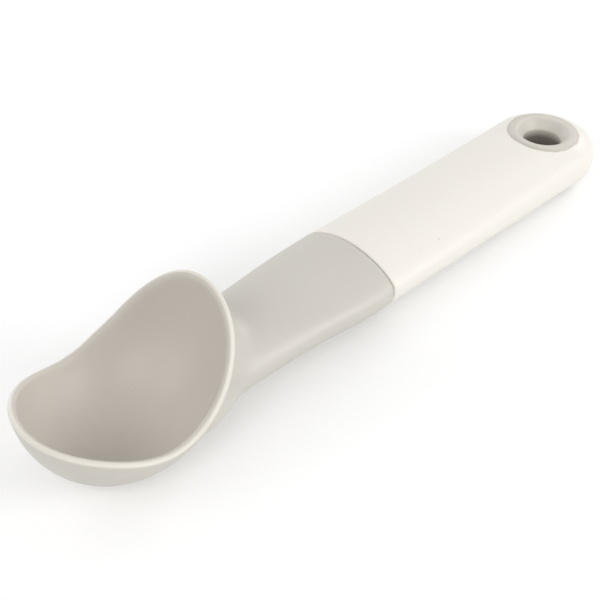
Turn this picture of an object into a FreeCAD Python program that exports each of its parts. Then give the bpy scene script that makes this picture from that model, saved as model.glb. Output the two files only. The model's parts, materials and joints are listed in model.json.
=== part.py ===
import FreeCAD, Part
import math
import os

# An ice cream scoop in three pieces: a grey moulded head (bowl, neck and the tang hidden in the
# grip), a white grip that slides over the tang, and a grey bush that lines the hang hole.
#
# Everything is drawn along the grip first. There x runs from the bowl to the end of the grip, z is
# up, and the origin is on the top of the grip at the middle of the hang hole. The last section
# turns the scoop into the pose in which it lies on a table and puts the origin under its middle.
# Lengths are in millimetres and angles in degrees.

# Grip
GRIP_LENGTH = 76.0           # from the joint with the head to the middle of the hang hole
GRIP_WIDTH_AT_JOINT = 31.4
GRIP_WIDTH_AT_HOLE = 29.3    # also the width of the round end
END_STRETCH = 1.035          # how much longer than a half circle the round end is
CROWN_HEIGHT = 6.7           # from the widest line of the section up to its top
BELLY_DEPTH = 9.2            # from the widest line down to the underside
JOINT_DROP = 1.5             # how much lower the top is at the joint than at the hang hole
END_SLOPE = 3.2              # how far the end of the grip turns down round the hang hole
TOP_FULLNESS_AT_JOINT = 0.48  # of the section's top: 0.55 is an ellipse, more is squarer
TOP_FULLNESS_AT_HOLE = 0.73
BELLY_FULLNESS = 0.65

# Joint between head and grip
JOINT_GAP = 0.35             # the shadow line
JOINT_EDGE_ROUND = 0.3
TANG_STOP = 8.35             # how far it ends before the bush
TANG_WIDTH = 21.0
TANG_HEIGHT = 8.5
TANG_DRAFT = 0.8             # by how much each side draws in along the tang
TANG_FULLNESS = 0.9
TANG_CLEARANCE = 0.1
TANG_ROOT = 6.0              # how far it starts inside the neck

# Neck, from the joint to the bowl. Each RUN is a distance from the joint, each DROP is how much
# lower the top is there than at the joint, and each SIDE is the height from the widest line to the top.
SHOULDER_RUN = 12.0
SHOULDER_WIDTH = 31.4
SHOULDER_DROP = 0.7
WAIST_RUN = 28.0
WAIST_WIDTH = 29.0
WAIST_DROP = 1.2
WAIST_SIDE = 6.8
ROOT_BACK = 29.6             # from the middle of the bowl back to the last section that narrows
ROOT_WIDTH = 28.0
ROOT_DROP = 2.2
ROOT_SIDE = 8.0
ROOT_FULLNESS = 0.53
NECK_REACH = 76.6            # to the middle of the bowl
NECK_BLEND = 10.0            # radius of the hollow between neck and bowl

# Skirt: the low web on both sides that spreads from the neck along the bowl
SKIRT_START_BACK = 26.1      # from the middle of the bowl back to its start and end
SKIRT_END_BACK = 13.6
SKIRT_TUCK = 0.2             # how far inside the side of the neck it starts
SKIRT_INSET = 6.4            # how far inside the side of the bowl it ends
SKIRT_TAIL = 7.0             # how far it runs on straight into the bowl's wall
SKIRT_SIDE = 8.3             # from its lower edge up to its top
SKIRT_FOOT = 3.0             # from its lower edge down to its underside
SKIRT_SINK = 1.0             # how far its top lies under that of the neck
SKIRT_FULLNESS = 0.23        # so little that its sides fall nearly straight

# Bowl
BOWL_LONG = 29.9             # half-axes of the outer egg shape: along its tilted long axis,
BOWL_WIDE = 25.0             # across the scoop,
BOWL_SHORT = 26.9            # and square to both
BOWL_TILT = 54.5             # how steeply the long axis rises towards the grip
BOWL_RISE = 2.9              # how far the middle of the bowl lies above the top of the grip
BOWL_WALL = 2.1
RIM_BACK = 13.8              # heights of the rim over the middle of the bowl
RIM_SHOULDER = 6.9
RIM_DIP = -12.4
RIM_LIP = -9.6
RIM_FRONT = -7.2
RIM_BACK_AT = 0.98           # how far out three of them are measured, as shares of the bowl's reach
RIM_SHOULDER_AT = 0.825
RIM_LIP_AT = 0.55
RIM_CREST = 2.1              # how far the line of the rim would still climb behind the bowl
RIM_ROUND = 0.85

# Bush in the hang hole
BUSH_DIAMETER = 19.3
BUSH_SINK = 0.65             # how far its flat face lies below the top of the grip
BORE_DIAMETER = 10.6
LIP_DIAMETER = 14.4          # where the flat face turns down into the funnel
FUNNEL_DEPTH = 2.6
BUSH_FOOT_SINK = 1.9         # and its lower face above the underside
LIP_ROUND = 1.2              # between the flat face and the funnel
THROAT_ROUND = 0.5           # between the funnel and the bore

# Search for the resting pose, in degrees
REST_TURNS = (-10.0, 20.0)
REST_TOLERANCE = 0.001

ALONG = FreeCAD.Vector(1, 0, 0)
ACROSS = FreeCAD.Vector(0, 1, 0)
UP = FreeCAD.Vector(0, 0, 1)
ORIGIN = FreeCAD.Vector(0, 0, 0)


def quarter(y, z_middle, z_end, fullness):
    """Quarter of a rounded outline, from its widest point at y to its middle at height z_end."""
    curve = Part.BezierCurve()
    curve.setPoles([
        FreeCAD.Vector(0, y, z_middle),
        FreeCAD.Vector(0, y, between(z_middle, z_end, fullness)),
        FreeCAD.Vector(0, y * fullness, z_end),
        FreeCAD.Vector(0, 0, z_end),
    ])
    return curve.toShape()


def rounded_section(x, width, top, rise, depth, top_fullness, belly_fullness, tilt=0.0):
    """Closed outline square to x, with its top middle at height top; tilt leans it about that point."""
    quarters = [
        quarter(width / 2, -rise, 0, top_fullness),
        quarter(-width / 2, -rise, 0, top_fullness),
        quarter(-width / 2, -rise, -rise - depth, belly_fullness),
        quarter(width / 2, -rise, -rise - depth, belly_fullness),
    ]
    outline = Part.Wire(quarters)
    outline.rotate(ORIGIN, ACROSS, tilt)
    outline.translate(FreeCAD.Vector(x, 0, top))
    return outline


def between(a, b, k):
    return a + (b - a) * k


def egg(long_half, wide_half, short_half):
    """The bowl's egg shape at its place; the half-axes are those of the surface wanted."""
    shape = Part.makeSphere(1.0)
    shape.rotate(ORIGIN, ALONG, 90)
    shape.rotate(ORIGIN, ACROSS, BOWL_TILT - 90)
    scale = FreeCAD.Matrix()
    scale.scale(long_half, wide_half, short_half)
    shape = shape.transformGeometry(scale)
    shape.rotate(ORIGIN, ACROSS, -BOWL_TILT)
    shape.translate(bowl_middle)
    return shape


def grip_block():
    """The outside of the grip without its socket and hole."""
    stations = 4
    outlines = []
    for i in range(stations + 1):
        k = i / stations
        outlines.append(rounded_section(
            -GRIP_LENGTH * (1 - k),
            between(GRIP_WIDTH_AT_JOINT, GRIP_WIDTH_AT_HOLE, k),
            -JOINT_DROP * (1 - k),
            CROWN_HEIGHT,
            BELLY_DEPTH,
            between(TOP_FULLNESS_AT_JOINT, TOP_FULLNESS_AT_HOLE, k * k),
            BELLY_FULLNESS,
            END_SLOPE if i == stations else 0.0))
    body = Part.makeLoft(outlines, True, False)
    side = GRIP_WIDTH_AT_HOLE / 2
    belly = -CROWN_HEIGHT - BELLY_DEPTH
    half = Part.Wire([
        quarter(side, -CROWN_HEIGHT, 0, TOP_FULLNESS_AT_HOLE),
        Part.makeLine(ORIGIN, UP * belly),
        quarter(side, -CROWN_HEIGHT, belly, BELLY_FULLNESS),
    ])
    stretch = FreeCAD.Matrix()
    stretch.scale(END_STRETCH, 1, 1)
    end = Part.Face(half).revolve(ORIGIN, UP, -180).transformGeometry(stretch)
    end.rotate(ORIGIN, ACROSS, END_SLOPE)
    return body.fuse(end)


def tang_body(clearance):
    """The tang, or with a clearance the space for it. It starts inside the head."""
    middle = -JOINT_DROP - CROWN_HEIGHT + (TANG_HEIGHT + CROWN_HEIGHT - BELLY_DEPTH) / 2
    outlines = []
    for x, draw in ((joint_x - TANG_ROOT, 0.0), (tang_end + clearance, TANG_DRAFT)):
        half_height = TANG_HEIGHT / 2 - draw + clearance
        outlines.append(rounded_section(
            x,
            TANG_WIDTH - 2 * draw + 2 * clearance,
            middle - TANG_HEIGHT / 2 + half_height,
            half_height,
            half_height,
            TANG_FULLNESS,
            TANG_FULLNESS))
    return Part.makeLoft(outlines, True, True)


def neck_body():
    """The neck, from the joint into the bowl's wall and beyond it."""
    outlines = []
    for run, width, drop, side, fullness in (
            (JOINT_GAP, GRIP_WIDTH_AT_JOINT, 0.0, CROWN_HEIGHT, TOP_FULLNESS_AT_JOINT),
            (SHOULDER_RUN, SHOULDER_WIDTH, SHOULDER_DROP, CROWN_HEIGHT, TOP_FULLNESS_AT_JOINT),
            (WAIST_RUN, WAIST_WIDTH, WAIST_DROP, WAIST_SIDE, TOP_FULLNESS_AT_JOINT),
            (NECK_REACH - ROOT_BACK, ROOT_WIDTH, ROOT_DROP, ROOT_SIDE, ROOT_FULLNESS),
            (NECK_REACH - ROOT_BACK / 2, ROOT_WIDTH, ROOT_DROP, ROOT_SIDE, ROOT_FULLNESS),
            (NECK_REACH, ROOT_WIDTH, ROOT_DROP, ROOT_SIDE, ROOT_FULLNESS)):
        depth = CROWN_HEIGHT + BELLY_DEPTH - drop - side
        outlines.append(rounded_section(
            joint_x - run, width, -JOINT_DROP - drop, side, depth, fullness, BELLY_FULLNESS))
    return Part.makeLoft(outlines, True, False)


def skirt_body():
    """The web that spreads from the sides of the neck to the sides of the bowl."""
    top = -JOINT_DROP - ROOT_DROP - SKIRT_SINK
    outlines = []
    for run, width in (
            (NECK_REACH - SKIRT_START_BACK, ROOT_WIDTH - 2 * SKIRT_TUCK),
            (NECK_REACH - SKIRT_END_BACK, 2 * (BOWL_WIDE - SKIRT_INSET)),
            (NECK_REACH - SKIRT_END_BACK + SKIRT_TAIL, 2 * (BOWL_WIDE - SKIRT_INSET))):
        outlines.append(rounded_section(
            joint_x - run, width, top, SKIRT_SIDE, SKIRT_FOOT, SKIRT_FULLNESS, BELLY_FULLNESS))
    return Part.makeLoft(outlines, True, True)


def above_rim():
    """Everything above the rim, seen from the side: from the high back down to the dip and the lip."""
    beyond = 1.05
    rim = [
        FreeCAD.Vector(bowl_reach * beyond, 0, RIM_BACK + RIM_CREST),
        FreeCAD.Vector(bowl_reach * RIM_BACK_AT, 0, RIM_BACK),
        FreeCAD.Vector(bowl_reach * RIM_SHOULDER_AT, 0, RIM_SHOULDER),
        FreeCAD.Vector(0, 0, RIM_DIP),
        FreeCAD.Vector(-bowl_reach * RIM_LIP_AT, 0, RIM_LIP),
        FreeCAD.Vector(-bowl_reach * beyond, 0, RIM_FRONT),
    ]
    curve = Part.BSplineCurve()
    curve.interpolate(rim)
    above = bowl_depth * 2
    lid = Part.makePolygon([
        rim[-1],
        FreeCAD.Vector(-bowl_reach * 2, 0, RIM_FRONT),
        FreeCAD.Vector(-bowl_reach * 2, 0, above),
        FreeCAD.Vector(bowl_reach * beyond, 0, above),
        rim[0],
    ])
    face = Part.Face(Part.Wire([curve.toShape()] + lid.Edges))
    cutter = face.extrude(ACROSS * BOWL_WIDE * 3)
    cutter.translate(bowl_middle - ACROSS * BOWL_WIDE * 1.5)
    return cutter


def make_head():
    """Bowl, neck, skirt and tang in one moulding."""
    outside = neck_body().fuse(egg(BOWL_LONG, BOWL_WIDE, BOWL_SHORT))
    meeting = [e for e in outside.Edges
               if e.BoundBox.YLength > ROOT_WIDTH / 3 and e.BoundBox.YLength < ROOT_WIDTH
               and e.BoundBox.XMax < joint_x - WAIST_RUN and e.BoundBox.ZMin > bowl_middle.z - bowl_depth]
    ledge = BOWL_WIDE - ROOT_WIDTH / 2
    outside = outside.makeFillet(min(NECK_BLEND, ledge), meeting)
    inside = egg(BOWL_LONG - BOWL_WALL, BOWL_WIDE - BOWL_WALL, BOWL_SHORT - BOWL_WALL)
    head = outside.cut(above_rim()).cut(inside)
    rim = [e for e in head.Edges
           if e.Length > 2 * BOWL_WIDE and e.CenterOfMass.x < bowl_middle.x + bowl_reach / 2]
    head = head.makeFillet(RIM_ROUND, rim)
    shoulder = [e for e in head.Edges if abs(e.CenterOfMass.x - joint_x + JOINT_GAP) < JOINT_GAP / 10]
    head = head.makeFillet(JOINT_EDGE_ROUND, shoulder)
    return head.fuse(tang_body(0)).fuse(skirt_body().cut(inside))


def make_grip(block):
    """The white sleeve, open towards the head and pierced for the bush."""
    mouth = [e for e in block.Edges if abs(e.CenterOfMass.x - joint_x) < JOINT_GAP / 10]
    grip = block.makeFillet(JOINT_EDGE_ROUND, mouth)
    return grip.cut(tang_body(TANG_CLEARANCE)).cut(round_bar(BUSH_DIAMETER))


def round_bar(diameter):
    """A bar along the axis of the hang hole, longer than the grip is thick."""
    reach = 2 * (CROWN_HEIGHT + BELLY_DEPTH)
    return Part.makeCylinder(diameter / 2, 2 * reach, hole_axis * -reach, hole_axis)


def make_bush(block):
    """The bush: flat faces sunk a little into the grip at both ends, each opened as a funnel."""
    lip = LIP_DIAMETER / 2
    bore = BORE_DIAMETER / 2
    rim = BUSH_DIAMETER / 2
    top = -BUSH_SINK
    bottom = -CROWN_HEIGHT - BELLY_DEPTH + BUSH_FOOT_SINK
    outline = Part.makePolygon([
        FreeCAD.Vector(bore, 0, bottom + FUNNEL_DEPTH),
        FreeCAD.Vector(lip, 0, bottom),
        FreeCAD.Vector(rim, 0, bottom),
        FreeCAD.Vector(rim, 0, top),
        FreeCAD.Vector(lip, 0, top),
        FreeCAD.Vector(bore, 0, top - FUNNEL_DEPTH),
        FreeCAD.Vector(bore, 0, bottom + FUNNEL_DEPTH),
    ])
    ring = Part.Face(outline).revolve(ORIGIN, UP, 360)
    for radius, rounding in ((lip, LIP_ROUND), (bore, THROAT_ROUND)):
        corners = [e for e in ring.Edges if e.BoundBox.ZLength < rounding / 10
                   and abs(e.BoundBox.YLength / 2 - radius) < rounding / 10]
        ring = ring.makeFillet(rounding, corners)
    ring.rotate(ORIGIN, ACROSS, END_SLOPE)
    return ring.common(block)


bowl_middle = FreeCAD.Vector(-GRIP_LENGTH - NECK_REACH, 0, BOWL_RISE)
tilt = math.radians(BOWL_TILT)
bowl_reach = math.hypot(BOWL_LONG * math.cos(tilt), BOWL_SHORT * math.sin(tilt))
bowl_depth = math.hypot(BOWL_LONG * math.sin(tilt), BOWL_SHORT * math.cos(tilt))
joint_x = -GRIP_LENGTH
tang_end = -BUSH_DIAMETER / 2 - TANG_STOP
hole_axis = FreeCAD.Vector(math.sin(math.radians(END_SLOPE)), 0, math.cos(math.radians(END_SLOPE)))

block = grip_block()
pieces = {
    "head": make_head(),
    "grip": make_grip(block),
    "hang_bush": make_bush(block),
}


def lowest(shape, turn):
    """Height of a shape's lowest point once it is turned about the hang hole's middle."""
    turned = shape.copy()
    turned.rotate(ORIGIN, ACROSS, turn)
    return turned.optimalBoundingBox(False, False).ZMin


# Resting pose: the scoop is turned until the bowl and the end of the grip are equally low.
low, high = REST_TURNS
while high - low > REST_TOLERANCE:
    turn = (low + high) / 2
    if lowest(pieces["grip"], turn) > lowest(pieces["head"], turn):
        low = turn
    else:
        high = turn
for shape in pieces.values():
    shape.rotate(ORIGIN, ACROSS, turn)
whole = Part.makeCompound(list(pieces.values())).optimalBoundingBox(False, False)
to_frame = FreeCAD.Vector(-(whole.XMin + whole.XMax) / 2, -(whole.YMin + whole.YMax) / 2, -whole.ZMin)

os.makedirs("parts", exist_ok=True)
for name, shape in pieces.items():
    shape.translate(to_frame)
    solid = shape.Solids[0]
    solid.exportStep("parts/" + name + ".step")
    box = solid.optimalBoundingBox(False, False)
    print(name, len(shape.Solids), solid.isValid(), round(solid.Volume, 1), "mm3")
    print("   low", [round(v, 2) for v in (box.XMin, box.YMin, box.ZMin)],
          "high", [round(v, 2) for v in (box.XMax, box.YMax, box.ZMax)])
print("turned to rest by", round(turn, 3), "and the hang hole's top middle is at", to_frame)
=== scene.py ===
import json
import math

import bpy
from mathutils import Matrix, Vector

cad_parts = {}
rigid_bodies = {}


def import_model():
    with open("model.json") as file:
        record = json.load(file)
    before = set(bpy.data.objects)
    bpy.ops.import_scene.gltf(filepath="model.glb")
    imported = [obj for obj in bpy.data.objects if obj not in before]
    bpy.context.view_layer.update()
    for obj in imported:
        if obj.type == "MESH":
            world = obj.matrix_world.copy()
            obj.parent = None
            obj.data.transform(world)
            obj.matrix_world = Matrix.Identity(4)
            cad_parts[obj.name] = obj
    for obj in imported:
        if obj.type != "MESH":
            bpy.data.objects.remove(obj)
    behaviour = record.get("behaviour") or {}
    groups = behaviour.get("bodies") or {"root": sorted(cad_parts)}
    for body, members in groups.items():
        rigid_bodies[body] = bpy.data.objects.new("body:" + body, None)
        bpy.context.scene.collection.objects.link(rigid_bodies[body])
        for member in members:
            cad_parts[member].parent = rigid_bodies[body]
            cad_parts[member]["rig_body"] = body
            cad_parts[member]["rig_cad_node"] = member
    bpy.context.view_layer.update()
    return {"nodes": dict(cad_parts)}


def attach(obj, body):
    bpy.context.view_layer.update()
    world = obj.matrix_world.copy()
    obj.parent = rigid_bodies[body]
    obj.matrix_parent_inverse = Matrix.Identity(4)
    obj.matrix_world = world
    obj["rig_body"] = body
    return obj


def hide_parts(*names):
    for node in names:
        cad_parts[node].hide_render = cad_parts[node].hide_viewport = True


bl_info = {
    "name": "Ice Cream Scoop",
    "version": (1, 0, 0),
    "blender": (4, 5, 0),
    "location": "3D View > Sidebar > Scoop",
    "description": "Builds a moulded ice cream scoop with a white grip around its packed frame",
    "category": "Add Mesh",
}

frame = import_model()
MM = 0.001

# Smoothing is full this near an edge, and has gone at the second distance
EDGE_CORE, EDGE_REACH = 0.8 * MM, 1.6 * MM
# The neck's smoothing fades between these distances before the joint
NECK_FADE_START, NECK_FADE_END = 3 * MM, 1 * MM
# The bush's lip starts and is fully drawn out at these distances inside the brim
LIP_START, LIP_FULL = 0.5 * MM, 0.1 * MM

# The rim's pale band of painted light, as shares of the bowl's wall: its middle, and from there its edge
# and its core
RIM_LIGHT_MIDDLE, RIM_LIGHT_EDGE, RIM_LIGHT_CORE = 0.32, 0.31, 0.21
# Depths in the wall, as shares of it, at which the inside's painted shade, a pinker and darker colour,
# starts and is full
INSIDE_SHADE_START, INSIDE_SHADE_FULL = 0.6, 0.9
# Distances outside the bore's radius at which its painted shade, a dark colour, starts and is full
BORE_SHADE_EDGE, BORE_SHADE_CORE = 0.30 * MM, 0.05 * MM
# Heights above the bore's middle, as shares of its length, at which that painted shade starts and is
# full
BORE_SHADE_TOP, BORE_SHADE_FULL = 0.52, 0.22

# Clouds per metre in the moulded skin, and how far they swing its roughness
CLOUD_SCALE = 38
ROUGHNESS_SWING = 0.12
# A speck's core and edge, as shares of the specks' spacing, and how strongly it shows
SPECK_CORE, SPECK_EDGE, SPECK_STRENGTH = 0.012, 0.026, 0.6
SPECK_COLOUR = (0.12, 0.10, 0.08, 1)

# The floor's width in metres, and the distances out at which its far lift starts and is full
FLOOR_SIZE = 6
FLOOR_COLOUR = (0.9, 0.9, 0.9, 1)
FAR_START, FAR_FULL = 0.5, 1.5

# Name, place and width of each lamp. Its power is the setting of the same name
LAMPS = (
    ("Key", (0.35, -0.8, 0.4), 0.5),
    ("Rear", (0.85, 0.1, 0.42), 0.5),
    ("Fill", (-0.75, 0.3, 0.5), 0.5),
    ("Front", (-0.6, -0.4, 0.6), 0.5),
    ("Back", (0, 0.9, 0.3), 0.6),
)


class ScoopShape(bpy.types.PropertyGroup):
    """How finely the moulded skins are meshed and how softly their forms run together."""

    head_grid: bpy.props.FloatProperty(
        name="Head grid", description="Size of the small squares that the head's skin is made of",
        unit="LENGTH", default=0.45 * MM, min=0.2 * MM)
    grip_grid: bpy.props.FloatProperty(
        name="Grip grid", description="Size of the small squares that the grip's skin is made of",
        unit="LENGTH", default=0.4 * MM, min=0.2 * MM)
    calming: bpy.props.IntProperty(
        name="Calming", description="Rounds of smoothing that take the steps out of a new skin",
        default=12, min=0)
    flare_softness: bpy.props.IntProperty(
        name="Flare softness", description="Rounds of smoothing where the neck spreads into the bowl",
        default=60, min=0)
    flare_from: bpy.props.FloatProperty(
        name="Flare from", description="Where along the scoop the soft flare starts, on the bowl's side",
        unit="LENGTH", default=-62 * MM)
    flare_to: bpy.props.FloatProperty(
        name="Flare to", description="Where along the scoop the soft flare ends, on the neck",
        unit="LENGTH", default=-28 * MM)
    flare_edge: bpy.props.FloatProperty(
        name="Flare edge", description="Length over which the softness comes in and goes out",
        unit="LENGTH", default=7 * MM, min=0.1 * MM)
    edge_softness: bpy.props.IntProperty(
        name="Edge softness", description="Rounds of smoothing on the neck and on the grip's mouth",
        default=5, min=0)
    brim_softness: bpy.props.IntProperty(
        name="Brim softness", description="Rounds of smoothing on the grip's edge at its hang hole",
        default=14, min=0)
    mouth_at: bpy.props.FloatProperty(
        name="Mouth", description="Where along the scoop the grip starts, at the edge of the joint",
        unit="LENGTH", default=7.0 * MM)
    brim_radius: bpy.props.FloatProperty(
        name="Brim radius", description="Radius of the grip's hang hole", unit="LENGTH",
        default=9.65 * MM)
    lip: bpy.props.FloatProperty(
        name="Lip", description="How far the bush's edge is drawn out over the grip's brim",
        unit="LENGTH", default=0.2 * MM, min=0)
    bowl_middle: bpy.props.FloatVectorProperty(
        name="Bowl's middle", description="Middle of the egg shape that the bowl follows", subtype="XYZ",
        unit="LENGTH", size=3, default=(-69.20 * MM, 0, 28.73 * MM))
    bowl_halves: bpy.props.FloatVectorProperty(
        name="Bowl's half-axes", description="Half-axes of the outer egg: long, across and short",
        subtype="XYZ", unit="LENGTH", size=3, default=(29.9 * MM, 25 * MM, 26.9 * MM))
    bowl_tilt: bpy.props.FloatProperty(
        name="Bowl's tilt", description="How steeply the egg's long axis rises towards the grip",
        subtype="ANGLE", default=math.radians(50.6))
    bowl_wall: bpy.props.FloatProperty(
        name="Bowl's wall", description="Thickness of the wall as a share of the egg", default=0.079,
        min=0.01)
    hole_middle: bpy.props.FloatVectorProperty(
        name="Hole's middle", description="Middle of the bush's bore", subtype="XYZ", unit="LENGTH",
        size=3, default=(81.945 * MM, 0, 8.177 * MM))
    hole_tilt: bpy.props.FloatProperty(
        name="Hole's tilt", description="How far the bore leans towards the grip's end",
        subtype="ANGLE", default=math.radians(7.104))
    bore_length: bpy.props.FloatProperty(
        name="Bore length", description="Length of the bush's bore below its funnel", unit="LENGTH",
        default=7.824 * MM)
    bore_radius: bpy.props.FloatProperty(
        name="Bore radius", description="Radius of the bush's bore", unit="LENGTH", default=5.3 * MM)


class ScoopFinish(bpy.types.PropertyGroup):
    """Colours of the scoop's plastics, as linear values, and their surface."""

    head_colour: bpy.props.FloatVectorProperty(
        name="Head", description="Colour of the neck and the bowl's outside", subtype="COLOR", size=3,
        min=0, max=1, default=(0.600, 0.573, 0.520))
    # Painted shade: the bowl's inside is the same plastic as the outside, and its pinker, darker colour
    # stands in for the tinted light bounced round the hollow.
    inside_shade_colour: bpy.props.FloatVectorProperty(
        name="Inside", description="Colour of the bowl's inside, a little pinker", subtype="COLOR",
        size=3, min=0, max=1, default=(0.597, 0.555, 0.500))
    # Painted light: the rim is the same plastic as the rest, and its paler colour stands in for the
    # light that its edge catches.
    rim_light_colour: bpy.props.FloatVectorProperty(
        name="Rim", description="Colour of the bowl's rim, where the plastic is polished by use",
        subtype="COLOR", size=3, min=0, max=1, default=(0.76, 0.72, 0.645))
    grip_colour: bpy.props.FloatVectorProperty(
        name="Grip", description="Colour of the grip", subtype="COLOR", size=3, min=0, max=1,
        default=(0.845, 0.812, 0.748))
    bush_colour: bpy.props.FloatVectorProperty(
        name="Bush", description="Colour of the bush in the hang hole", subtype="COLOR", size=3,
        min=0, max=1, default=(0.625, 0.592, 0.53))
    # Painted shade: the bore's dark colour stands in for the shade down in the hang hole.
    bore_shade_colour: bpy.props.FloatVectorProperty(
        name="Bore", description="Colour down in the bore of the bush", subtype="COLOR", size=3,
        min=0, max=1, default=(0.24, 0.215, 0.19))
    head_roughness: bpy.props.FloatProperty(
        name="Head roughness", description="How matt the bowl and neck are", subtype="FACTOR",
        default=0.42, min=0, max=1)
    grip_roughness: bpy.props.FloatProperty(
        name="Grip roughness", description="How matt the grip is", subtype="FACTOR",
        default=0.36, min=0, max=1)
    grain_size: bpy.props.FloatProperty(
        name="Grain size", description="Size of the moulded skin's fine grain", unit="LENGTH",
        default=0.35 * MM, min=0.01 * MM)
    speck_spacing: bpy.props.FloatProperty(
        name="Speck spacing", description="Rough distance between the tiny dark specks in the plastic",
        unit="LENGTH", default=9 * MM, min=1 * MM)


class ScoopView(bpy.types.PropertyGroup):
    """The camera, and the powers of the lamps."""

    aim: bpy.props.FloatVectorProperty(
        name="Aim", description="Point at the middle of the picture", subtype="XYZ", unit="LENGTH",
        size=3, default=(-0.01194, 0.0, 0.01156))
    azimuth: bpy.props.FloatProperty(
        name="Azimuth", description="Side from which the camera looks, from the front towards the grip",
        subtype="ANGLE", default=math.radians(-43.04))
    elevation: bpy.props.FloatProperty(
        name="Elevation", description="How steeply the camera looks down", subtype="ANGLE",
        default=math.radians(41.04))
    roll: bpy.props.FloatProperty(
        name="Roll", description="How far the camera is turned about its own axis", subtype="ANGLE",
        default=math.radians(-1.787))
    distance: bpy.props.FloatProperty(
        name="Distance", description="From the camera to the aim", unit="LENGTH", default=0.45, min=0.1)
    lens: bpy.props.FloatProperty(
        name="Lens", description="Focal length in millimetres", default=106.92, min=10)
    sky: bpy.props.FloatProperty(
        name="Sky", description="Strength of the even light from all round", default=0.54, min=0)
    floor_lift: bpy.props.FloatProperty(
        name="Floor lift", description="How much whiter than its light the floor looks", default=0.15,
        min=0)
    far_lift: bpy.props.FloatProperty(
        name="Far lift", description="The same far from the scoop, where the lamps don't reach",
        default=0.55, min=0)
    key: bpy.props.FloatProperty(
        name="Key", description="Power of the soft lamp at the near right, in watts", default=3.3, min=0)
    rear: bpy.props.FloatProperty(
        name="Rear", description="Power of the lamp beyond the grip's end, in watts", default=1.6, min=0)
    fill: bpy.props.FloatProperty(
        name="Fill", description="Power of the soft lamp on the far left, in watts", default=1.0, min=0)
    front: bpy.props.FloatProperty(
        name="Front", description="Power of the soft lamp before the bowl, in watts", default=1.8, min=0)
    back: bpy.props.FloatProperty(
        name="Back", description="Power of the soft lamp behind the scoop, in watts", default=2.1, min=0)


def shape():
    """The scoop's shape settings."""
    return bpy.context.scene.scoop_shape


def finish():
    """The scoop's colours and surface settings."""
    return bpy.context.scene.scoop_finish


def studio():
    """The settings of the camera and the lamps."""
    return bpy.context.scene.scoop_view


# Modelling helpers

def select_only(piece):
    """Makes a piece the only one that the next operator acts on."""
    bpy.ops.object.select_all(action="DESELECT")
    bpy.context.view_layer.objects.active = piece
    piece.select_set(True)


def merged_copy(node, name):
    """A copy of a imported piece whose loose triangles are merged, to model on."""
    select_only(frame["nodes"][node])
    bpy.ops.object.duplicate()
    piece = bpy.context.object
    bpy.ops.object.parent_clear(type="CLEAR_KEEP_TRANSFORM")
    piece.name = name
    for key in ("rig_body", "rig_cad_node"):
        del piece[key]
    bpy.ops.mesh.customdata_custom_splitnormals_clear()
    bpy.ops.object.mode_set(mode="EDIT")
    bpy.ops.mesh.select_all(action="SELECT")
    bpy.ops.mesh.remove_doubles(threshold=0.001 * MM)
    bpy.ops.object.mode_set(mode="OBJECT")
    return piece


def apply_modifier(piece, kind, **settings):
    """Adds a modifier with the settings given and makes its result the piece's mesh."""
    select_only(piece)
    modifier = piece.modifiers.new(kind.title(), kind)
    for key, value in settings.items():
        setattr(modifier, key, value)
    bpy.ops.object.modifier_apply(modifier=modifier.name)


def even_skin(piece, grid):
    """Meshes a piece anew in even squares that lie on its old surface."""
    guide = piece.copy()
    guide.data = piece.data.copy()
    bpy.context.collection.objects.link(guide)
    select_only(piece)
    piece.data.remesh_voxel_size = grid
    bpy.ops.object.voxel_remesh()
    apply_modifier(piece, "SMOOTH", factor=0.5, iterations=shape().calming)
    apply_modifier(piece, "SHRINKWRAP", target=guide, wrap_method="NEAREST_SURFACEPOINT")
    bpy.data.objects.remove(guide)
    bpy.ops.object.shade_smooth()


def weigh(piece, name, weight):
    """Adds a vertex group with the weight that a function gives each point."""
    group = piece.vertex_groups.new(name=name)
    for vertex in piece.data.vertices:
        value = weight(vertex.co)
        if value > 0:
            group.add([vertex.index], min(value, 1), "REPLACE")


def ramp(value, start, end):
    """0 at start, 1 at end, with soft turns."""
    k = min(max((value - start) / (end - start), 0), 1)
    return k * k * (3 - 2 * k)


def round_hole(point):
    """How far a point lies from the axis of the hang hole, and how high above the bore's middle."""
    s = shape()
    high = point.z - s.hole_middle[2]
    along = point.x - s.hole_middle[0] - math.sin(s.hole_tilt) * high
    return math.hypot(along, point.y), high


# Node helpers

def new_material(name):
    """A new node material, with its nodes and links."""
    material = bpy.data.materials.new(name)
    material.use_nodes = True
    return material, material.node_tree.nodes, material.node_tree.links


def math_node(nodes, operation, *values):
    """A Math node with its plain inputs set."""
    node = nodes.new("ShaderNodeMath")
    node.operation = operation
    for i, value in enumerate(values):
        node.inputs[i].default_value = value
    return node


def vector_node(nodes, operation, vector):
    """A Vector Math node fed with a vector."""
    node = nodes.new("ShaderNodeVectorMath")
    node.operation = operation
    node.id_data.links.new(vector, node.inputs[0])
    return node


def map_range(nodes, value, start, end, low=0.0, high=1.0):
    """Runs from low to high as a value runs from start to end, and stays level beyond."""
    node = nodes.new("ShaderNodeMapRange")
    for name, number in (("From Min", start), ("From Max", end), ("To Min", low), ("To Max", high)):
        node.inputs[name].default_value = number
    node.id_data.links.new(value, node.inputs["Value"])
    return node.outputs["Result"]


def place_on(nodes, middle, turn, halves=(1, 1, 1)):
    """Object coordinates seen from a middle, along turned axes and in units of the halves."""
    place = nodes.new("ShaderNodeTexCoord")
    mapping = nodes.new("ShaderNodeMapping")
    mapping.vector_type = "TEXTURE"
    mapping.inputs["Location"].default_value = middle
    mapping.inputs["Rotation"].default_value = (0, turn, 0)
    mapping.inputs["Scale"].default_value = halves
    mapping.id_data.links.new(place.outputs["Object"], mapping.inputs["Vector"])
    return mapping.outputs["Vector"]


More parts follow.
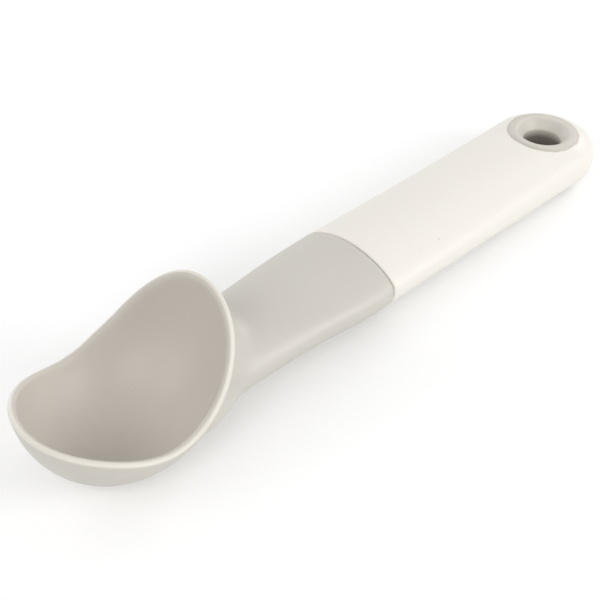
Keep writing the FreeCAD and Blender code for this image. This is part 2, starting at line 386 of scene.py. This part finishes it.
def moulded_skin_group():
    """Colour, roughness and height of a moulded plastic skin: cloudiness, specks and a fine grain."""
    name = "Moulded skin"
    if name in bpy.data.node_groups:
        return bpy.data.node_groups[name]
    group = bpy.data.node_groups.new(name, "ShaderNodeTree")
    face = group.interface
    face.new_socket("Colour", in_out="INPUT", socket_type="NodeSocketColor")
    for label in ("Cloudiness", "Roughness", "Grain scale", "Speck scale"):
        face.new_socket(label, in_out="INPUT", socket_type="NodeSocketFloat")
    face.new_socket("Colour", in_out="OUTPUT", socket_type="NodeSocketColor")
    face.new_socket("Roughness", in_out="OUTPUT", socket_type="NodeSocketFloat")
    face.new_socket("Height", in_out="OUTPUT", socket_type="NodeSocketFloat")
    nodes, links = group.nodes, group.links
    given = nodes.new("NodeGroupInput")
    result = nodes.new("NodeGroupOutput")
    place = nodes.new("ShaderNodeTexCoord")

    clouds = nodes.new("ShaderNodeTexNoise")
    clouds.inputs["Scale"].default_value = CLOUD_SCALE
    clouds.inputs["Detail"].default_value = 3
    links.new(place.outputs["Object"], clouds.inputs["Vector"])
    centred = math_node(nodes, "SUBTRACT", 0, 0.5)
    links.new(clouds.outputs["Fac"], centred.inputs[0])
    swing = math_node(nodes, "MULTIPLY_ADD", 0, 0, 1)
    links.new(centred.outputs[0], swing.inputs[0])
    links.new(given.outputs["Cloudiness"], swing.inputs[1])
    clouded = vector_node(nodes, "SCALE", given.outputs["Colour"])
    links.new(swing.outputs[0], clouded.inputs["Scale"])

    cells = nodes.new("ShaderNodeTexVoronoi")
    links.new(place.outputs["Object"], cells.inputs["Vector"])
    links.new(given.outputs["Speck scale"], cells.inputs["Scale"])
    speck = map_range(nodes, cells.outputs["Distance"], SPECK_CORE, SPECK_EDGE, SPECK_STRENGTH, 0)
    specked = nodes.new("ShaderNodeMix")
    specked.data_type = "RGBA"
    specked.inputs["B"].default_value = SPECK_COLOUR
    links.new(speck, specked.inputs["Factor"])
    links.new(clouded.outputs[0], specked.inputs["A"])
    links.new(specked.outputs["Result"], result.inputs["Colour"])

    grain = nodes.new("ShaderNodeTexNoise")
    grain.inputs["Detail"].default_value = 2
    links.new(place.outputs["Object"], grain.inputs["Vector"])
    links.new(given.outputs["Grain scale"], grain.inputs["Scale"])
    links.new(grain.outputs["Fac"], result.inputs["Height"])
    uneven = math_node(nodes, "MULTIPLY_ADD", 0, ROUGHNESS_SWING)
    links.new(centred.outputs[0], uneven.inputs[0])
    links.new(given.outputs["Roughness"], uneven.inputs[2])
    links.new(uneven.outputs[0], result.inputs["Roughness"])
    return group


def moulded_plastic(name, colour, roughness, cloudiness, bump):
    """Satin plastic with a moulded skin. Returns the material and the skin node."""
    material, nodes, links = new_material(name)
    shader = nodes["Principled BSDF"]
    skin = nodes.new("ShaderNodeGroup")
    skin.node_tree = moulded_skin_group()
    skin.inputs["Colour"].default_value = (*colour, 1)
    skin.inputs["Cloudiness"].default_value = cloudiness
    skin.inputs["Roughness"].default_value = roughness
    skin.inputs["Grain scale"].default_value = 1 / finish().grain_size
    skin.inputs["Speck scale"].default_value = 1 / finish().speck_spacing
    relief = nodes.new("ShaderNodeBump")
    relief.inputs["Strength"].default_value = 1.0
    relief.inputs["Distance"].default_value = bump
    links.new(skin.outputs["Height"], relief.inputs["Height"])
    links.new(relief.outputs["Normal"], shader.inputs["Normal"])
    links.new(skin.outputs["Roughness"], shader.inputs["Roughness"])
    links.new(skin.outputs["Colour"], shader.inputs["Base Color"])
    return material, skin


def blend_colour(nodes, links, mask, low, high):
    """A colour that runs from low, where the mask is 0, to high, where it is 1."""
    blend = nodes.new("ShaderNodeMix")
    blend.data_type = "RGBA"
    blend.inputs["A"].default_value = (*low, 1)
    blend.inputs["B"].default_value = (*high, 1)
    links.new(mask, blend.inputs["Factor"])
    return blend


def dress(piece, material):
    """Gives a piece one material."""
    piece.data.materials.clear()
    piece.data.materials.append(material)


class SCOOP_OT_head(bpy.types.Operator):
    """Models the head's skin: bowl, neck and tang, with the flare run smoothly into the bowl."""

    bl_idname = "scoop.head"
    bl_label = "Head"

    def execute(self, context):
        s = shape()
        head = merged_copy("head", "scoop_head")
        even_skin(head, s.head_grid)
        weigh(head, "flare", self.flare_weight)
        apply_modifier(head, "SMOOTH", factor=0.5, iterations=s.flare_softness, vertex_group="flare")
        weigh(head, "neck", self.neck_weight)
        apply_modifier(head, "SMOOTH", factor=0.5, iterations=s.edge_softness, vertex_group="neck")
        select_only(head)
        bpy.ops.object.vertex_group_remove(all=True)
        f = finish()
        material, skin = moulded_plastic(
            "Head plastic", f.head_colour, f.head_roughness, cloudiness=0.06, bump=0.006 * MM)
        nodes, links = material.node_tree.nodes, material.node_tree.links
        # The inside's pinker colour is painted shade, and the rim's pale band is painted light.
        inside, rim = self.painted_bowl_masks(nodes, links)
        wall = blend_colour(nodes, links, inside, f.head_colour, f.inside_shade_colour)
        whole = blend_colour(nodes, links, rim, f.head_colour, f.rim_light_colour)
        links.new(wall.outputs["Result"], whole.inputs["A"])
        links.new(whole.outputs["Result"], skin.inputs["Colour"])
        dress(head, material)
        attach(head, "root")
        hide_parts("head")
        return {"FINISHED"}

    @staticmethod
    def painted_bowl_masks(nodes, links):
        """Two masks: 1 on the bowl's inside, for its painted shade, and 1 on the rim between its outer
        and inner egg shapes, for its painted light.
        """
        s = shape()
        egg = place_on(nodes, s.bowl_middle, -s.bowl_tilt, s.bowl_halves)
        size = vector_node(nodes, "LENGTH", egg).outputs["Value"]
        inside = map_range(nodes, size, 1 - s.bowl_wall * INSIDE_SHADE_START, 1 - s.bowl_wall * INSIDE_SHADE_FULL)
        off = math_node(nodes, "SUBTRACT", 0, 1 - s.bowl_wall * RIM_LIGHT_MIDDLE)
        away = math_node(nodes, "ABSOLUTE")
        links.new(size, off.inputs[0])
        links.new(off.outputs[0], away.inputs[0])
        rim = map_range(nodes, away.outputs[0], s.bowl_wall * RIM_LIGHT_EDGE, s.bowl_wall * RIM_LIGHT_CORE)
        return inside, rim

    @staticmethod
    def neck_weight(point):
        """1 over the neck, 0 on the bowl, at the joint and on the tang."""
        s = shape()
        along = ramp(point.x, s.flare_from + s.flare_edge, s.flare_to)
        along *= 1 - ramp(point.x, s.mouth_at - NECK_FADE_START, s.mouth_at - NECK_FADE_END)
        return along

    @staticmethod
    def flare_weight(point):
        """1 where the neck spreads into the bowl, 0 before and after."""
        s = shape()
        along = ramp(point.x, s.flare_from, s.flare_from + s.flare_edge)
        along *= 1 - ramp(point.x, s.flare_to - s.flare_edge, s.flare_to)
        return along


class SCOOP_OT_grip(bpy.types.Operator):
    """Models the white grip's skin."""

    bl_idname = "scoop.grip"
    bl_label = "Grip"

    def execute(self, context):
        s = shape()
        grip = merged_copy("grip", "scoop_grip")
        even_skin(grip, s.grip_grid)
        weigh(grip, "mouth", self.mouth_weight)
        weigh(grip, "brim", self.brim_weight)
        apply_modifier(grip, "SMOOTH", factor=0.5, iterations=s.edge_softness, vertex_group="mouth")
        apply_modifier(grip, "SMOOTH", factor=0.5, iterations=s.brim_softness, vertex_group="brim")
        select_only(grip)
        bpy.ops.object.vertex_group_remove(all=True)
        f = finish()
        material, _ = moulded_plastic(
            "Grip plastic", f.grip_colour, f.grip_roughness, cloudiness=0.02, bump=0.005 * MM)
        dress(grip, material)
        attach(grip, "root")
        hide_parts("grip")
        return {"FINISHED"}

    @staticmethod
    def mouth_weight(point):
        """1 at the mouth of the grip, 0 away from it."""
        mouth = shape().mouth_at
        return 1 - ramp(point.x, mouth + EDGE_CORE, mouth + EDGE_REACH)

    @staticmethod
    def brim_weight(point):
        """1 at the upper brim of the hang hole, 0 away from it."""
        radius, high = round_hole(point)
        if high < 0:
            return 0
        return 1 - ramp(abs(radius - shape().brim_radius), EDGE_CORE, EDGE_REACH)


class SCOOP_OT_bush(bpy.types.Operator):
    """Models the bush that lines the hang hole, with its lip drawn out over the grip's soft brim."""

    bl_idname = "scoop.bush"
    bl_label = "Bush"

    def execute(self, context):
        bush = merged_copy("hang_bush", "scoop_bush")
        weigh(bush, "lip", self.lip_weight)
        apply_modifier(bush, "DISPLACE", strength=shape().lip, mid_level=0.0, vertex_group="lip")
        select_only(bush)
        bpy.ops.object.vertex_group_remove(all=True)
        f = finish()
        material, skin = moulded_plastic(
            "Bush plastic", f.bush_colour, f.head_roughness, cloudiness=0.05, bump=0.006 * MM)
        nodes, links = material.node_tree.nodes, material.node_tree.links
        # The bore's dark colour is painted shade.
        whole = blend_colour(nodes, links, self.bore_shade_mask(nodes, links), f.bush_colour, f.bore_shade_colour)
        links.new(whole.outputs["Result"], skin.inputs["Colour"])
        dress(bush, material)
        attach(bush, "root")
        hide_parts("hang_bush")
        return {"FINISHED"}

    @staticmethod
    def lip_weight(point):
        """1 on the outer edge of the bush's upper face, 0 elsewhere."""
        brim = shape().brim_radius
        radius, high = round_hole(point)
        if high < 0:
            return 0
        return ramp(radius, brim - LIP_START, brim - LIP_FULL)

    @staticmethod
    def bore_shade_mask(nodes, links):
        """1 on the wall of the bore, 0 from its throat outwards: where its shade is painted."""
        s = shape()
        bore = place_on(nodes, s.hole_middle, s.hole_tilt)
        flat = vector_node(nodes, "MULTIPLY", bore)
        flat.inputs[1].default_value = (1, 1, 0)
        radius = vector_node(nodes, "LENGTH", flat.outputs["Vector"]).outputs["Value"]
        split = nodes.new("ShaderNodeSeparateXYZ")
        links.new(bore, split.inputs[0])
        inside = map_range(nodes, radius, s.bore_radius + BORE_SHADE_EDGE, s.bore_radius + BORE_SHADE_CORE)
        deep = map_range(nodes, split.outputs["Z"], s.bore_length * BORE_SHADE_TOP,
                         s.bore_length * BORE_SHADE_FULL)
        both = math_node(nodes, "MULTIPLY")
        links.new(inside, both.inputs[0])
        links.new(deep, both.inputs[1])
        return both.outputs[0]


def area_light(name, place, aim, size, power):
    """Adds a round white lamp that looks at the aim."""
    bpy.ops.object.select_all(action="DESELECT")
    bpy.ops.object.light_add(type="AREA", location=place)
    lamp = bpy.context.object
    lamp.name = name
    lamp.data.shape = "DISK"
    lamp.data.size = size
    lamp.data.energy = power
    lamp.rotation_euler = (Vector(aim) - Vector(place)).to_track_quat("-Z", "Y").to_euler()


def seen_directly(nodes, links):
    """1 where the camera, a mirror or clear plastic sees the surface, 0 where it only gives light."""
    path = nodes.new("ShaderNodeLightPath")
    total = path.outputs["Is Camera Ray"]
    for name in ("Is Glossy Ray", "Is Transmission Ray"):
        either = math_node(nodes, "MAXIMUM")
        links.new(total, either.inputs[0])
        links.new(path.outputs[name], either.inputs[1])
        total = either.outputs[0]
    return total


def add_floor():
    """Adds a pale floor that keeps the shadows and looks white beyond them."""
    bpy.ops.object.select_all(action="DESELECT")
    bpy.ops.mesh.primitive_plane_add(size=FLOOR_SIZE, location=(0, 0, 0))
    floor = bpy.context.object
    floor.name = "Floor"
    material, nodes, links = new_material("Floor")
    shader = nodes["Principled BSDF"]
    shader.inputs["Base Color"].default_value = FLOOR_COLOUR
    shader.inputs["Roughness"].default_value = 0.9
    shader.inputs["Specular IOR Level"].default_value = 0.0
    bright = nodes.new("ShaderNodeEmission")
    place = nodes.new("ShaderNodeTexCoord")
    reach = vector_node(nodes, "LENGTH", place.outputs["Object"]).outputs["Value"]
    lift = map_range(nodes, reach, FAR_START, FAR_FULL, studio().floor_lift, studio().far_lift)
    strength = math_node(nodes, "MULTIPLY")
    links.new(seen_directly(nodes, links), strength.inputs[0])
    links.new(lift, strength.inputs[1])
    links.new(strength.outputs[0], bright.inputs["Strength"])
    total = nodes.new("ShaderNodeAddShader")
    links.new(shader.outputs[0], total.inputs[0])
    links.new(bright.outputs[0], total.inputs[1])
    links.new(total.outputs[0], nodes["Material Output"].inputs["Surface"])
    dress(floor, material)


def add_world():
    """Adds even light from all round, which looks white where it is seen directly."""
    world = bpy.data.worlds.new("Studio")
    bpy.context.scene.world = world
    world.use_nodes = True
    nodes, links = world.node_tree.nodes, world.node_tree.links
    backdrop = nodes["Background"]
    backdrop.inputs["Color"].default_value = (1, 1, 1, 1)
    strength = map_range(nodes, seen_directly(nodes, links), 0, 1, studio().sky, 1)
    links.new(strength, backdrop.inputs["Strength"])


def add_camera():
    """Adds the camera on its line to the aim, turned by its roll."""
    view = studio()
    az, el = view.azimuth, view.elevation
    back = Vector((math.sin(az) * math.cos(el), -math.cos(az) * math.cos(el), math.sin(el)))
    bpy.ops.object.camera_add(location=Vector(view.aim) + back * view.distance)
    camera = bpy.context.object
    turn = (-back).to_track_quat("-Z", "Y").to_matrix() @ Matrix.Rotation(view.roll, 3, "Z")
    camera.rotation_euler = turn.to_euler()
    camera.data.sensor_width = 36
    camera.data.lens = view.lens
    camera.data.clip_start = 0.01
    bpy.context.scene.camera = camera


class SCOOP_OT_stage(bpy.types.Operator):
    """Adds the floor, the lights and the camera."""

    bl_idname = "scoop.stage"
    bl_label = "Stage"

    def execute(self, context):
        add_floor()
        add_world()
        for name, place, size in LAMPS:
            area_light(name, place, studio().aim, size, getattr(studio(), name.lower()))
        add_camera()
        context.scene.view_settings.view_transform = "Standard"
        return {"FINISHED"}


class SCOOP_PT_panel(bpy.types.Panel):
    """Lists the steps that build the scoop."""

    bl_label = "Scoop"
    bl_idname = "SCOOP_PT_panel"
    bl_space_type = "VIEW_3D"
    bl_region_type = "UI"
    bl_category = "Scoop"

    def draw(self, context):
        column = self.layout.column()
        for operator in OPERATORS:
            column.operator(operator.bl_idname)
        for name in ("head_colour", "grip_colour", "bush_colour", "head_roughness", "grip_roughness"):
            column.prop(context.scene.scoop_finish, name)


OPERATORS = (SCOOP_OT_head, SCOOP_OT_grip, SCOOP_OT_bush, SCOOP_OT_stage)
CLASSES = (ScoopShape, ScoopFinish, ScoopView, *OPERATORS, SCOOP_PT_panel)


def register():
    for cls in CLASSES:
        bpy.utils.register_class(cls)
    bpy.types.Scene.scoop_shape = bpy.props.PointerProperty(type=ScoopShape)
    bpy.types.Scene.scoop_finish = bpy.props.PointerProperty(type=ScoopFinish)
    bpy.types.Scene.scoop_view = bpy.props.PointerProperty(type=ScoopView)


def unregister():
    del bpy.types.Scene.scoop_view
    del bpy.types.Scene.scoop_finish
    del bpy.types.Scene.scoop_shape
    for cls in reversed(CLASSES):
        bpy.utils.unregister_class(cls)


def main():
    """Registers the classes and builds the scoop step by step."""
    register()
    bpy.ops.scoop.head()
    bpy.ops.scoop.grip()
    bpy.ops.scoop.bush()
    bpy.ops.scoop.stage()


if __name__ == "__main__":
    main()
